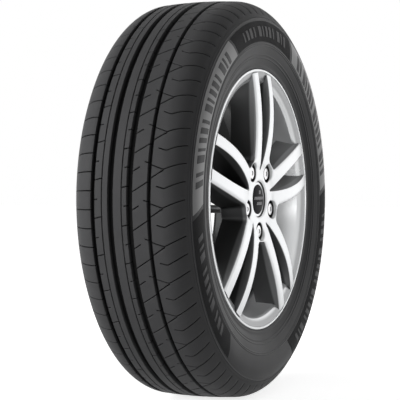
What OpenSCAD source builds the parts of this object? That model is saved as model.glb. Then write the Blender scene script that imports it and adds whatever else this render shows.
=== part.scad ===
// Car wheel: a tubeless radial tyre on a cast alloy wheel with five pairs of spokes.
// The wheel stands upright on its tread. It turns about the Y axis, and its outer face looks along -Y.
// Shapes are drawn about an upright axis, with heights counted towards the outer face, and then turned over.

/* [Tyre] */
// Overall diameter of the tyre
tyre_d = 673; // [663:1:687]
// Width of the tyre where its sidewalls stand out furthest
section_w = 205; // [202:0.2:210]
// Width of the tread pattern, both shoulders included
pattern_w = 188; // [184:1:192]
// Width of the nearly flat crown between the round shoulders
crown_w = 118; // [112:1:124]
// Radius of the crown across the tread
crown_radius = 750; // [600:10:1200]
// Radius of the shoulder beside the crown as a share of the wall's height above its widest place
shoulder_share = 0.77; // [0.7:0.01:0.82]
// Radius of the sidewall above its widest place as a share of the same height
upper_share = 0.99; // [0.9:0.01:1.1]
// Radius of the sidewall below its widest place as a share of the wall's height there
lower_share = 1.642; // [1.5:0.002:1.8]
// Thickness of tread and casing together at the crown
tread_t = 15; // [13.5:0.5:18]
// Thickness of the sidewall
side_t = 8; // [6.5:0.5:9.5]
// Width of the bead on its seat
bead_w = 19; // [17:0.5:20]

/* [Tread pattern] */
// Depth of the four main grooves
groove_depth = 8; // [6:0.5:9]
// Depth of the cross cuts
cut_depth = 5.5; // [4:0.5:7]
// Width of the cross cuts
cut_w = 1.6; // [1:0.1:2.4]
// Width of the two fine grooves round the tread
fine_w = 1.4; // [1:0.1:2]
// Number of times the pattern repeats round the tyre
pitch_count = 36; // [30:1:40]

/* [Rim] */
// Diameter of the bead seats
rim_d = 405.6; // [400:0.2:412]
// Width of the rim between its flanges
rim_w = 165.1; // [160:0.1:170]
// Height of a flange over the bead seat
flange_h = 17.5; // [16:0.5:19]
// Thickness of a flange along the axle
flange_t = 8.2; // [7:0.1:9.5]
// Thickness of the barrel wall
barrel_t = 5.5; // [5:0.1:6.5]
// Radius of the open space inside the barrel at its waist
barrel_r = 180; // [177:0.5:181]

/* [Spokes] */
// Number of spoke pairs, which is also the number of wheel bolts
pair_count = 5; // [5:1:5]
// Distance across one pair of spokes at its widest
pair_w = 83; // [78:0.5:88]
// Radius of the bow along a spoke's outer edge
bow_radius = 840; // [600:10:1500]
// Width of the window inside a pair
slot_w = 40.5; // [36:0.5:44]
// Distance of the window's pointed end from the wheel's axis
slot_tip = 45; // [43:0.5:50]
// Depth of a spoke from its front to its back
spoke_depth = 36; // [33:0.5:39]
// Draft of the spoke walls
spoke_draft = 8; // [4:0.5:10]

/* [Hub] */
// Distance from the wheel's middle plane to the mounting face
hub_offset = 45; // [42:0.5:48]
// Thickness of the hub from the mounting face to its front
hub_t = 42.3; // [40:0.1:44]
// Radius of the mounting face
pad_r = 75; // [72:0.5:78]
// Diameter of the centre bore
bore_d = 63.4; // [60:0.1:65]
// Diameter of the bolt circle
bolt_circle_d = 108; // [106:0.1:110]
// Diameter of the pocket round a bolt head
pocket_d = 29; // [27:0.5:30]
// Depth of the pocket below the hub's front
pocket_depth = 15; // [13:0.5:17]

/* [Wheel bolts] */
// Diameter of the bolt's thread
bolt_d = 14; // [12:0.5:14]
// Width across the flats of the bolt's head
bolt_flats = 19; // [17:0.5:20]
// Height of the head over the pocket's floor
head_h = 12; // [9:0.5:14]
// Length of thread standing out behind the mounting face
thread_out = 27; // [20:0.5:32]

/* [Centre cap] */
// Diameter of the centre cap
cap_d = 60; // [56:0.5:61]
// Diameter of the disc in the middle of the cap
cap_disc_d = 48; // [44:0.5:50]
// Thickness of the cap's face
cap_t = 3.5; // [3:0.1:4]
// Diameter of the bore that the cap's fingers snap into
cap_bore_d = 55; // [53:0.1:55.5]

/* [Valve] */
// Diameter of the valve's hole in the barrel
valve_hole_d = 11.5; // [11:0.1:12]
// Length of the valve from the barrel's tyre side to its open end
valve_len = 39; // [36:0.5:42]
// Diameter of the brass tube
valve_tube_d = 7.7; // [7.4:0.1:8]
// Length of the valve cap
valve_cap_len = 12; // [11:0.5:13]

/* [Hidden] */
$fn = 96;

// Overrun of every cut past the surface that it leaves by
over = 2;
// Running clearance between pieces that are fitted by hand
fit_gap = 0.1;

// Tyre: radii and half widths of its section
tyre_r = tyre_d / 2;
half_w = section_w / 2;
half_pattern = pattern_w / 2;
half_crown = crown_w / 2;
seat_r = rim_d / 2;
half_rim = rim_w / 2;
// Place of the widest part of the sidewall between bead seat and tread
widest_share = 0.592;
widest_r = seat_r + widest_share * (tyre_r - seat_r);
shoulder_radius = shoulder_share * (tyre_r - widest_r);
upper_radius = upper_share * (tyre_r - widest_r);
lower_radius = lower_share * (widest_r - seat_r);
// Angles of the section's outward direction, from the tread's to the axle's
crown_end = asin(half_crown / crown_radius);
shoulder_end = 57;
lower_end = 114;
// Turn left out where two arcs of the section meet
arc_gap = 8;
crown_centre = [tyre_r - crown_radius, 0];
shoulder_centre = crown_centre + (crown_radius - shoulder_radius) * [cos(crown_end), sin(crown_end)];
upper_centre = [widest_r, half_w - upper_radius];
lower_centre = [widest_r, half_w - lower_radius];
// Round edge of rubber that covers the rim's flange
heel_radius = 11;
heel_centre = lower_centre + (lower_radius - heel_radius) * [cos(lower_end), sin(lower_end)];
// The bead seats fall away from the flanges
seat_slope = 5;
toe_r = seat_r - bead_w * tan(seat_slope);
toe_round = 3;
bead_gap = 1;
// Two fine ribs round the sidewall, and how far they stand out
side_rib_w = 2.4;
side_rib_out = 0.9;
upper_rib_angle = 63;
lower_rib_angle = 99;

// Tread pattern: places across the tread as shares of its half width, outer side positive
groove_place_shares = [-0.564, -0.233, 0.115, 0.456];
groove_width_shares = [0.080, 0.100, 0.106, 0.064];
fine_place_shares = [-0.390, -0.029];
// Cross cuts of one pitch: turn at the first end as a share of the pitch, places of both ends
// across the tread, further turn at the second end, and depth as a share of the full depth
cut_shares = [
    [0.17, -0.597, -1.000, 0.00, 0.9],
    [0.67, -0.597, -1.000, 0.00, 0.9],
    [0.34, -0.390, -0.536, 0.06, 0.9],
    [0.89, -0.474, -0.536, 0.02, 0.9],
    [0.59, -0.029, 0.087, -0.04, 0.9],
    [0.07, 0.020, 0.087, -0.02, 0.9],
    [0.71, 0.158, 0.444, -0.28, 0.9],
    [0.18, 0.158, 0.280, -0.12, 0.9],
    [0.92, 0.372, 0.433, 0.03, 0.9],
    [0.00, 0.474, 0.688, 0.12, 1.0],
    [0.12, 0.688, 0.974, -0.22, 0.8],
    [0.56, 0.586, 0.709, 0.06, 1.0],
    [0.62, 0.709, 0.974, -0.22, 0.8],
    [0.36, 0.474, 0.688, -0.22, 0.6]
];

// Rim: sections of flange, seat, hump, slope and well
flange_r = seat_r + flange_h;
flange_out = half_rim + flange_t;
flange_round = 7;
lip_w = 5;
lip_t = 4.5;
lip_inner_r = seat_r - lip_t;
lip_drop = 2.6;
lip_fall = 2.8;
seat_corner = 2.2;
hump_w = 2;
hump_out = 0.7;
hump_gap = 0.5;
hump_fall = 2;
hump_h = half_rim - bead_w - hump_w - hump_gap;
slope_top_h = half_rim - lip_drop;
slope_start_h = hump_h - hump_fall;
slope_end_h = 42;
slope_step = 6;
inner_fall = 2.5;
slope_angle = atan((lip_inner_r - barrel_r - slope_step) / (slope_top_h - slope_end_h));
wall_r = barrel_t / cos(slope_angle);
well_r = barrel_r + barrel_t;
well_end_h = -6;
inner_slope_h = -34;
inner_rise = 12;
inner_bed_r = barrel_r + inner_rise;

// Spokes: front face profile, highest at the middle of the spoke
hub_front = hub_offset + hub_t;
pad_rim = 2.5;
hub_r = pad_r - pad_rim;
front_rise = 10.5;
front_high = hub_front + front_rise;
front_high_r = 139;
front_sink = 0.3;
front_low = flange_out - front_sink;
front_overlap = 1;
front_reach = flange_r - lip_w + front_overlap;
front_drop = (front_high - front_low) / pow(front_reach - front_high_r, 2);
hub_flat_r = 50;
front_ease = 10;
front_steps = 6;
pad_step = 3.5;
hub_back = hub_offset + pad_step;
rim_back = flange_out - spoke_depth;
spider_low = hub_offset - over;
spider_high = front_high + over;
bow_place = 197;
slot_place = 190;
slot_len = slot_place - slot_tip;
bow_facets = 360;
slot_radius = (pow(slot_len, 2) + pow(slot_w / 2, 2)) / slot_w;
draft_rate = tan(spoke_draft);
pair_turn = 360 / pair_count;
first_pair = 88.5;
first_bolt = first_pair + pair_turn / 2;

// Hub: centre bore, cap seat and bolt holes
bore_r = bore_d / 2;
cap_gap = 0.5;
cap_recess = 4.5;
cap_seat_h = hub_front - cap_recess - cap_t;
cap_step_t = 7;
bore_top = cap_seat_h - cap_step_t;
hook_room_t = 7;
hook_room_step = 2.2;
recess_bevel = 2.5;
edge_bevel = 1.2;
hole_gap = 1.3;
seat_cone_h = 8;
seat_cone_angle = 30;
bolt_r = bolt_d / 2;
hole_r = bolt_r + hole_gap;
cone_top_r = hole_r + seat_cone_h * tan(seat_cone_angle);
floor_h = hub_front - pocket_depth;
collar_t = 1.5;
head_bevel = 1;
head_dimple = 1.2;

// Centre cap: skirt of snap fingers, hooks and wire ring
cap_r = cap_d / 2;
finger_t = 2;
finger_gap = 0.4;
finger_r = cap_bore_d / 2 - finger_gap;
hook_out = 1.1;
hook_h = 3;
hook_gap = 0.4;
finger_count = 8;
finger_slot = 4;
disc_t = 1;
wire_r = 0.8;

// Valve: it stands square on the barrel's slope, in the window of one pair
valve_turn = first_pair + pair_turn;
spot_depth = 0.4;
valve_rise = 8;
valve_h = slope_end_h + valve_rise;
valve_base = [slope_r(valve_h) + wall_r, valve_h];
valve_flange_r = 9.5;
valve_flange_t = 3.5;
valve_bulge_r = 7.6;
valve_bulge_len = 4;
valve_neck_r = valve_hole_d / 2;
valve_top_r = 5.2;
bare_len = 12;
rubber_len = valve_len - bare_len;
tube_r = valve_tube_d / 2;
tube_start = -2;
core_len = 17;
core_r = 2.7;
air_r = 2;
core_bore_r = 1.1;
pin_r = 0.75;
poppet_r = 1.5;
poppet_t = 1.4;
pin_gap = 0.3;
pin_below = 0.5;
valve_cap_r = 5;
valve_cap_t = 1.8;
valve_cap_gap = 0.1;
seal_t = 0.9;
seal_hole_r = 1.6;

function arc(centre, radius, from, to, steps) =
    [for (i = [0 : steps]) let (a = from + (to - from) * i / steps) centre + radius * [cos(a), sin(a)]];
function across(p) = [p[0], -p[1]];
function backwards(points) = [for (i = [len(points) - 1 : -1 : 0]) points[i]];
// Radius of the barrel's inner surface on its outer slope
function slope_r(h) = lip_inner_r - (slope_top_h - h) * tan(slope_angle);
// Height of the spokes' front face
function front_h(r) = front_high - front_drop * pow(r - front_high_r, 2);
// Radius of the tread's surface at a distance from the middle plane
function tread_r(h) =
    let (a = abs(h), s = a - shoulder_centre[1])
    a < half_crown ? crown_centre[0] + sqrt(pow(crown_radius, 2) - pow(a, 2))
    : s < shoulder_radius * sin(shoulder_end) ? shoulder_centre[0] + sqrt(pow(shoulder_radius, 2) - pow(s, 2))
    : shoulder_centre[0] + shoulder_radius * cos(shoulder_end)
        - (s - shoulder_radius * sin(shoulder_end)) * tan(shoulder_end);

// Turns the upright drawing axis to the wheel's own, outer face along -Y
module turned_over() rotate([90, 0, 0]) children();

module half_section() {
    outer = concat(
        arc(crown_centre, crown_radius, 0, crown_end, 4),
        arc(shoulder_centre, shoulder_radius, crown_end + arc_gap, shoulder_end, 5),
        arc(upper_centre, upper_radius, shoulder_end, 90, 4),
        arc(lower_centre, lower_radius, 90 + arc_gap / 2, lower_end, 4),
        arc(heel_centre, heel_radius, lower_end + arc_gap, 180, 4)
    );
    bead = [
        [flange_r - bead_gap, half_rim], [seat_r + toe_round, half_rim],
        [seat_r - toe_round * tan(seat_slope) + fit_gap, half_rim - toe_round],
        [toe_r + fit_gap, half_rim - bead_w],
        [toe_r + toe_round, half_rim - bead_w - toe_round / 2]
    ];
    inner = concat(
        arc(lower_centre, lower_radius - side_t, lower_end, 90 + arc_gap / 2, 4),
        arc(upper_centre, upper_radius - side_t, 90, shoulder_end, 4),
        arc(crown_centre, crown_radius - tread_t, crown_end, 0, 3)
    );
    polygon(concat(outer, bead, inner));
}

// A fine rib on the sidewall, half sunk in it
module side_rib(centre, radius, angle)
    translate(centre) rotate(angle) translate([radius, 0])
        square([2 * side_rib_out, side_rib_w], center = true);

module tyre_section() {
    difference() {
        for (side = [0, 1]) mirror([0, side]) {
            half_section();
            side_rib(upper_centre, upper_radius, upper_rib_angle);
            side_rib(lower_centre, lower_radius, lower_rib_angle);
        }
        for (i = [0 : len(groove_place_shares) - 1]) {
            place = groove_place_shares[i] * half_pattern;
            width = groove_width_shares[i] * half_pattern;
            translate([tread_r(place) - groove_depth, place - width / 2]) square([groove_depth + over, width]);
        }
        for (share = fine_place_shares)
            translate([tread_r(share * half_pattern) - cut_depth, share * half_pattern - fine_w / 2])
                square([cut_depth + over, fine_w]);
    }
}

// One straight cross cut, as deep as its share says all along
module cross_cut(cut) {
    first = cut[1] * half_pattern;
    second = cut[2] * half_pattern;
    middle = (first + second) / 2;
    mid_r = tread_r(middle);
    swing = cut[3] * 360 / pitch_count;
    skew = atan(mid_r * swing * PI / 180 / (second - first));
    depth = cut[4] * cut_depth;
    steps = max(abs(first), abs(second)) > half_crown ? 3 : 1;
    floor_line = [for (i = [0 : steps]) let (h = first + (second - first) * i / steps)
        [tread_r(h) - depth, (h - middle) / cos(skew)]];
    top_line = [for (h = [second, first]) [tyre_r + over, (h - middle) / cos(skew)]];
    rotate([0, 0, cut[0] * 360 / pitch_count + swing / 2]) translate([0, 0, middle]) rotate([90 - skew, 0, 0])
        linear_extrude(cut_w, center = true) polygon(concat(floor_line, top_line));
}

module tyre() color("#2f3032") turned_over() difference() {
    rotate_extrude() tyre_section();
    for (i = [0 : pitch_count - 1]) rotate([0, 0, i * 360 / pitch_count])
        for (cut = cut_shares) cross_cut(cut);
}
tyre();

// Section of the barrel with both flanges, bead seats, humps and the well
module barrel_section() {
    flange_centre = [flange_r - flange_round, half_rim + flange_round];
    flange_outline = concat(
        [
            [seat_r + hump_out, flange_out - lip_fall], [flange_r - lip_w, flange_out],
            [flange_r - edge_bevel, flange_out]
        ],
        arc(flange_centre, flange_round, -12, -90, 5),
        [
            [seat_r + seat_corner, half_rim],
            [seat_r - seat_corner * tan(seat_slope), half_rim - seat_corner],
            [toe_r, hump_h + hump_w], [toe_r + hump_out, hump_h + hump_w / 2], [toe_r + hump_out, hump_h]
        ]
    );
    polygon(concat(
        flange_outline,
        [
            [slope_r(slope_start_h) + wall_r, slope_start_h],
            [well_r, slope_start_h - (slope_r(slope_start_h) + wall_r - well_r) / tan(slope_angle)],
            [well_r, well_end_h], [inner_bed_r + barrel_t, inner_slope_h]
        ],
        backwards([for (p = flange_outline) across(p)]),
        [
            [lip_inner_r, -slope_top_h], [lip_inner_r - inner_fall, hump_w - hump_h],
            [inner_bed_r, inner_slope_h], [barrel_r, well_end_h],
            [barrel_r, slope_end_h - wall_r], [slope_r(slope_end_h), slope_end_h],
            [lip_inner_r, slope_top_h]
        ]
    ));
}

// Section that bounds the spokes and hub: front face, a line inside the barrel wall, and the back
module spider_section() {
    front = [for (i = [0 : front_steps])
        let (r = hub_flat_r + front_ease + (front_reach - hub_flat_r - front_ease) * i / front_steps) [r, front_h(r)]];
    in_wall = [
        [(flange_r - lip_w + lip_inner_r) / 2, half_rim + flange_t / 3],
        [(lip_inner_r + seat_r) / 2, slope_top_h],
        [slope_r(slope_start_h) + wall_r / 2, slope_start_h],
        [slope_r(rim_back) + wall_r / 2, rim_back]
    ];
    back = [
        [pad_r + (barrel_r - pad_r) / 2, (rim_back + hub_back) / 2], [pad_r + edge_bevel, hub_back],
        [pad_r, hub_offset], [0, hub_offset]
    ];
    polygon(concat([[0, hub_front], [hub_flat_r, hub_front]], front, in_wall, back));
}

// A cone about an upright axis, of a given radius at the front and changing with depth by the draft
module drafted(radius, turn_out) translate([0, 0, spider_low]) cylinder(
    h = spider_high - spider_low,
    r1 = radius + turn_out * draft_rate * (front_high - spider_low),
    r2 = radius - turn_out * draft_rate * over,
    $fn = bow_facets
);

// The narrow window inside a pair: the long leaf where two big cones overlap
module slot() intersection() {
    translate([slot_radius - slot_w / 2, slot_place, 0]) drafted(slot_radius, -1);
    translate([slot_w / 2 - slot_radius, slot_place, 0]) drafted(slot_radius, -1);
}

// The wide window between two pairs: a sector, less the hub and the bowed walls on both sides
module window() difference() {
    reach = flange_r;
    translate([0, 0, spider_low]) linear_extrude(spider_high - spider_low)
        polygon([[0, 0], [reach, -reach * tan(pair_turn / 2)], [reach, reach * tan(pair_turn / 2)]]);
    drafted(hub_r, 1);
    for (side = [0, 1]) mirror([0, side, 0]) rotate([0, 0, pair_turn / 2 - 90])
        translate([pair_w / 2 - bow_radius, bow_place, 0]) drafted(bow_radius, 1);
}

module at_pairs() for (i = [0 : pair_count - 1])
    rotate([0, 0, first_pair - 90 + i * pair_turn]) children();

module at_bolts() for (i = [0 : pair_count - 1])
    rotate([0, 0, first_bolt + i * pair_turn]) translate([bolt_circle_d / 2, 0, 0]) children();

// Section of the centre bore, the bore of the cap's fingers and the recess of its face
module hub_bore_section() polygon([
    [0, hub_offset - over], [bore_r + edge_bevel, hub_offset - over], [bore_r + edge_bevel, hub_offset],
    [bore_r, hub_offset + edge_bevel], [bore_r, bore_top - hook_room_t],
    [bore_r - hook_room_step, bore_top - hook_room_t], [bore_r - hook_room_step, bore_top],
    [cap_bore_d / 2, bore_top],
    [cap_bore_d / 2, cap_seat_h], [cap_r + cap_gap, cap_seat_h],
    [cap_r + cap_gap, hub_front - recess_bevel], [cap_r + cap_gap + recess_bevel, hub_front],
    [cap_r + cap_gap + recess_bevel, hub_front + over], [0, hub_front + over]
]);

// Cut for one wheel bolt: hole, cone seat and pocket
module bolt_cut() rotate_extrude() polygon([
    [0, hub_offset - over], [hole_r, hub_offset - over], [hole_r, floor_h - seat_cone_h],
    [cone_top_r, floor_h], [pocket_d / 2, floor_h], [pocket_d / 2, hub_front - edge_bevel],
    [pocket_d / 2 + edge_bevel + front_high - hub_front, front_high], [0, front_high]
]);

// Puts a shape drawn along an upright axis on the valve's axis, with zero on the barrel's tyre side
module at_valve() rotate([0, 0, valve_turn]) translate([valve_base[0], 0, valve_base[1]])
    rotate([0, slope_angle - 90, 0]) children();

// Cut for the valve: its hole and a flat spot on both sides of the wall
module valve_cut() {
    translate([0, 0, -over]) cylinder(h = barrel_t + 2 * over, r = valve_neck_r);
    translate([0, 0, spot_depth - over]) cylinder(h = over, r = valve_flange_r + edge_bevel);
    translate([0, 0, barrel_t - spot_depth]) cylinder(h = over, r = valve_bulge_r + edge_bevel);
}

// Spokes and hub: one turned disc with the windows, slots and bolt holes cut out of it
module spider() difference() {
    rotate_extrude() difference() {
        spider_section();
        hub_bore_section();
    }
    at_bolts() bolt_cut();
    at_pairs() slot();
    at_pairs() rotate([0, 0, 90 + pair_turn / 2]) window();
}

module barrel() difference() {
    rotate_extrude() barrel_section();
    at_valve() valve_cut();
}

module alloy_wheel() color("#c8cacd") turned_over() {
    barrel();
    spider();
}

// A bolt with a cone seat and a six-sided head, on its own axis
module wheel_bolt(index) color("#b9bbbe") turned_over()
    rotate([0, 0, first_bolt + (index - 1) * pair_turn]) translate([bolt_circle_d / 2, 0, 0]) {
        tip_h = hub_offset - thread_out;
        cone_start = floor_h - seat_cone_h - (hole_gap - fit_gap) / tan(seat_cone_angle);
        collar_r = cone_top_r - fit_gap;
        rotate_extrude() polygon([
            [0, tip_h], [bolt_r - edge_bevel, tip_h], [bolt_r, tip_h + edge_bevel], [bolt_r, cone_start],
            [collar_r, floor_h], [collar_r, floor_h + collar_t], [0, floor_h + collar_t]
        ]);
        difference() {
            intersection() {
                translate([0, 0, floor_h]) cylinder(h = head_h, r = bolt_flats / 2 / cos(30), $fn = 6);
                translate([0, 0, floor_h]) cylinder(h = head_h, r1 = bolt_flats, r2 = bolt_flats / 2 - head_bevel);
            }
            translate([0, 0, floor_h + head_h - head_dimple])
                cylinder(h = head_dimple + over, r = bolt_flats / 2 - head_bevel - collar_t);
        }
    }

// One moulding: a round face with a dished middle, and a skirt of fingers with hooks
module centre_cap() color("#d5d7da") turned_over() difference() {
    finger_low = bore_top - hook_gap - hook_h;
    face_h = cap_seat_h + cap_t;
    rotate_extrude() polygon([
        [0, cap_seat_h], [finger_r - finger_t, cap_seat_h], [finger_r - finger_t, finger_low],
        [finger_r, finger_low], [finger_r + hook_out, bore_top - hook_gap], [finger_r, bore_top - hook_gap],
        [finger_r, cap_seat_h], [cap_r, cap_seat_h], [cap_r, face_h - edge_bevel], [cap_r - edge_bevel, face_h],
        [cap_disc_d / 2 + fit_gap, face_h], [cap_disc_d / 2 + fit_gap, face_h - disc_t], [0, face_h - disc_t]
    ]);
    for (i = [0 : finger_count - 1]) rotate([0, 0, i * 360 / finger_count])
        translate([finger_r - finger_t - over, -finger_slot / 2, finger_low - over])
            cube([finger_t + hook_out + 2 * over, finger_slot, cap_seat_h - finger_low]);
}

module centre_cap_disc() color("#3a3b3e") turned_over()
    translate([0, 0, cap_seat_h + cap_t - disc_t]) cylinder(h = disc_t, r = cap_disc_d / 2);

// The wire ring that presses the cap's fingers outwards
module centre_cap_ring() color("#8d9094") turned_over()
    translate([0, 0, bore_top - hook_gap - hook_h / 2]) rotate_extrude()
        translate([finger_r - finger_t - fit_gap - wire_r, 0]) circle(wire_r, $fn = 24);

// Rubber of the snap-in valve: inner flange, neck in the hole, bulge and tapered stem
module valve_body() color("#232426") turned_over() at_valve() rotate_extrude() polygon([
    [tube_r, spot_depth - valve_flange_t], [valve_flange_r - edge_bevel, spot_depth - valve_flange_t],
    [valve_flange_r, spot_depth - valve_flange_t / 2], [valve_flange_r, spot_depth],
    [valve_neck_r - fit_gap, spot_depth], [valve_neck_r - fit_gap, barrel_t - spot_depth],
    [valve_bulge_r, barrel_t - spot_depth], [valve_bulge_r, barrel_t + valve_bulge_len / 2],
    [valve_bulge_r - edge_bevel, barrel_t + valve_bulge_len],
    [valve_top_r, rubber_len], [tube_r, rubber_len]
]);

module valve_tube() color("#b8924a") turned_over() at_valve() rotate_extrude() polygon([
    [air_r, tube_start], [tube_r, tube_start], [tube_r, valve_len], [core_r, valve_len],
    [core_r, valve_len - core_len], [air_r, valve_len - core_len]
]);

module valve_core() color("#b8924a") turned_over() at_valve() rotate_extrude() polygon([
    [core_bore_r, valve_len - core_len], [core_r - fit_gap / 2, valve_len - core_len],
    [core_r - fit_gap / 2, valve_len - edge_bevel], [core_bore_r, valve_len - edge_bevel]
]);

// The pin with the plate that closes the core from below
module valve_pin() color("#a8a29a") turned_over() at_valve() rotate_extrude() polygon([
    [0, valve_len - core_len - pin_gap - poppet_t], [poppet_r, valve_len - core_len - pin_gap - poppet_t],
    [poppet_r, valve_len - core_len - pin_gap], [pin_r, valve_len - core_len - pin_gap],
    [pin_r, valve_len - pin_below], [0, valve_len - pin_below]
]);

module valve_cap() color("#1f2022") turned_over() at_valve() {
    ceiling = valve_len + fit_gap + seal_t + fit_gap / 2;
    mouth = ceiling + valve_cap_t - valve_cap_len;
    rotate_extrude() polygon([
        [tube_r + fit_gap, mouth], [valve_cap_r, mouth], [valve_cap_r, ceiling + valve_cap_t - edge_bevel],
        [valve_cap_r - edge_bevel, ceiling + valve_cap_t], [0, ceiling + valve_cap_t], [0, ceiling],
        [tube_r + fit_gap, ceiling]
    ]);
}

module valve_cap_seal() color("#6d6f73") turned_over() at_valve()
    translate([0, 0, valve_len + fit_gap]) difference() {
        cylinder(h = seal_t, r = tube_r);
        translate([0, 0, -over]) cylinder(h = seal_t + 2 * over, r = seal_hole_r);
    }

alloy_wheel();
centre_cap();
centre_cap_disc();
centre_cap_ring();
wheel_bolt(1);  // wheel_bolt_1
wheel_bolt(2);  // wheel_bolt_2
wheel_bolt(3);  // wheel_bolt_3
wheel_bolt(4);  // wheel_bolt_4
wheel_bolt(5);  // wheel_bolt_5
valve_body();
valve_tube();
valve_core();
valve_pin();
valve_cap();
valve_cap_seal();
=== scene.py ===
# %% [markdown]
# # A car wheel: a rubber tyre on a cast alloy wheel
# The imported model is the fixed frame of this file. It says how big every part is and where it sits, and
# it is loaded first. Each step below then makes one piece of the real wheel as a surface that numpy works
# out, gives it a finish from shader nodes, and lets it ride on the body that carries it. The wheel turns
# about the Y axis, its outer face looks along -Y, and +Z is up.

# %% Load the frame
import math

import bmesh
import bpy
import numpy as np
from mathutils import Matrix, Vector
from mathutils.geometry import delaunay_2d_cdt


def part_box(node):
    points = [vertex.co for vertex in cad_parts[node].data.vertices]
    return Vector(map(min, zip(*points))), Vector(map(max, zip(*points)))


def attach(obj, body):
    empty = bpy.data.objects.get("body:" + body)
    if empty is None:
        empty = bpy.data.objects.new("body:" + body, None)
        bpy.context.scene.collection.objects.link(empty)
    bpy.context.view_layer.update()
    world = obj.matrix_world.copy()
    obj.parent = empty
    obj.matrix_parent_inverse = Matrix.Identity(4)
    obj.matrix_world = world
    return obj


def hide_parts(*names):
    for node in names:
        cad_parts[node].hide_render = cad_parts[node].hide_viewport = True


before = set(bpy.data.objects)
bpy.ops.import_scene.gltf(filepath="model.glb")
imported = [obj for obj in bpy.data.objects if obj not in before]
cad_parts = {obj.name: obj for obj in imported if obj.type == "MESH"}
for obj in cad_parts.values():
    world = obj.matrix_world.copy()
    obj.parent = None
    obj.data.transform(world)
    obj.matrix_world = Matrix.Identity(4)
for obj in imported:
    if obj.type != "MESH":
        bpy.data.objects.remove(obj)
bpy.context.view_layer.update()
print("nodes in the frame:", len(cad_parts))

# %% [markdown]
# ## Camera first
# The photograph looks at the wheel from its left front, a little above its axle, with a long lens. A
# camera that is placed before anything is modelled shows at once whether sizes are right. The lens shift
# is the distance between the optical axis and the middle of the frame, as a share of its width.

# %% Place the camera
PIXELS = 400
SENSOR_MM = 36.0
FOCAL_PIXELS = 1413.8
AXIS_PIXEL = (212.9, 199.2)
CAMERA_TURN = math.radians(-66.23)
CAMERA_RISE = math.radians(1.08)
CAMERA_ROLL = math.radians(-0.30)
CAMERA_DISTANCE = 2.430


def place_camera():
    """Axes of a camera on a sphere about the wheel's centre: back, right and up, turned by the roll."""
    back = Vector((
        math.sin(CAMERA_TURN) * math.cos(CAMERA_RISE),
        -math.cos(CAMERA_TURN) * math.cos(CAMERA_RISE),
        math.sin(CAMERA_RISE),
    ))
    level = Vector((math.cos(CAMERA_TURN), math.sin(CAMERA_TURN), 0.0))
    plumb = back.cross(level)
    right = level * math.cos(CAMERA_ROLL) + plumb * math.sin(CAMERA_ROLL)
    up = plumb * math.cos(CAMERA_ROLL) - level * math.sin(CAMERA_ROLL)
    data = bpy.data.cameras.new("photo_camera")
    data.sensor_width = SENSOR_MM
    data.lens = SENSOR_MM * FOCAL_PIXELS / PIXELS
    data.shift_x = (PIXELS / 2 - AXIS_PIXEL[0]) / PIXELS
    data.shift_y = (AXIS_PIXEL[1] - PIXELS / 2) / PIXELS
    camera = bpy.data.objects.new("photo_camera", data)
    axes = Matrix((right, up, back)).transposed().to_4x4()
    camera.matrix_world = Matrix.Translation(back * CAMERA_DISTANCE) @ axes
    bpy.context.scene.collection.objects.link(camera)
    bpy.context.scene.camera = camera


place_camera()

# %% [markdown]
# ## Sizes
# Lengths are written in millimetres and turned into metres by one unit. What the frame knows, such as the
# tyre's radius and the places of the bolts, is read from it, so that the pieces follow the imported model.

# %% Sizes from the frame
MM = 0.001
TYRE_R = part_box("tyre")[1].z
HALF_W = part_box("tyre")[1].y
FLANGE_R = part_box("alloy_wheel")[1].x
FLANGE_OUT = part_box("alloy_wheel")[1].y
FRONT_HIGH = -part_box("alloy_wheel")[0].y
print("tyre %.1f mm across, %.1f mm wide" % (TYRE_R * 2 / MM, HALF_W * 2 / MM))


# %% [markdown]
# ## Making a mesh from arrays
# A piece is one or more closed shells. A shell is an array of points and an array of faces, both worked
# out whole. The signed volume of a shell tells whether its faces look outwards: it is the sum of the
# volumes of the wedges between each face and the origin, and a shell with a negative sum is turned round.

# %% Mesh helpers
def grid_quads(rows, cols, close_rows=False, close_cols=False):
    """Corner numbers of the cells of a grid. A closed direction joins its last line to its first."""
    i = np.arange(rows if close_rows else rows - 1)[:, None]
    j = np.arange(cols if close_cols else cols - 1)[None, :]
    i2 = (i + 1) % rows
    j2 = (j + 1) % cols
    quads = np.stack([i * cols + j, i * cols + j2, i2 * cols + j2, i2 * cols + j], -1)
    return quads.reshape(-1, 4)


def triangles_of(faces):
    """Three-cornered faces that cover the same area: a quad gives two."""
    if faces.shape[1] == 3:
        return faces
    return np.concatenate([faces[:, [0, 1, 2]], faces[:, [0, 2, 3]]])


def outward(points, face_sets):
    """Turns a closed shell's faces round if its signed volume is negative."""
    volume = 0.0
    for faces in face_sets:
        a, b, c = (points[triangles_of(faces)[:, k]] for k in range(3))
        volume += np.einsum("ij,ij->i", a, np.cross(b, c)).sum()
    if volume < 0:
        face_sets = [faces[:, ::-1] for faces in face_sets]
    return points, face_sets


def torus_shell(points):
    """Closed shell from a grid that closes on itself both ways: sections along rows, turns along columns."""
    rows, cols = points.shape[:2]
    return outward(points.reshape(-1, 3), [grid_quads(rows, cols, True, True)])


def capped_shell(points):
    """Closed shell from rings that run along rows, closed round each ring, with a fan over both ends."""
    rows, cols = points.shape[:2]
    flat = np.concatenate([points.reshape(-1, 3), points[0].mean(0)[None], points[-1].mean(0)[None]])
    j = np.arange(cols)
    first = np.stack([(j + 1) % cols, j, np.full(cols, rows * cols)], -1)
    last = np.stack([(rows - 1) * cols + j, (rows - 1) * cols + (j + 1) % cols, np.full(cols, rows * cols + 1)], -1)
    return outward(flat, [grid_quads(rows, cols, False, True), np.concatenate([first, last])])


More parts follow.
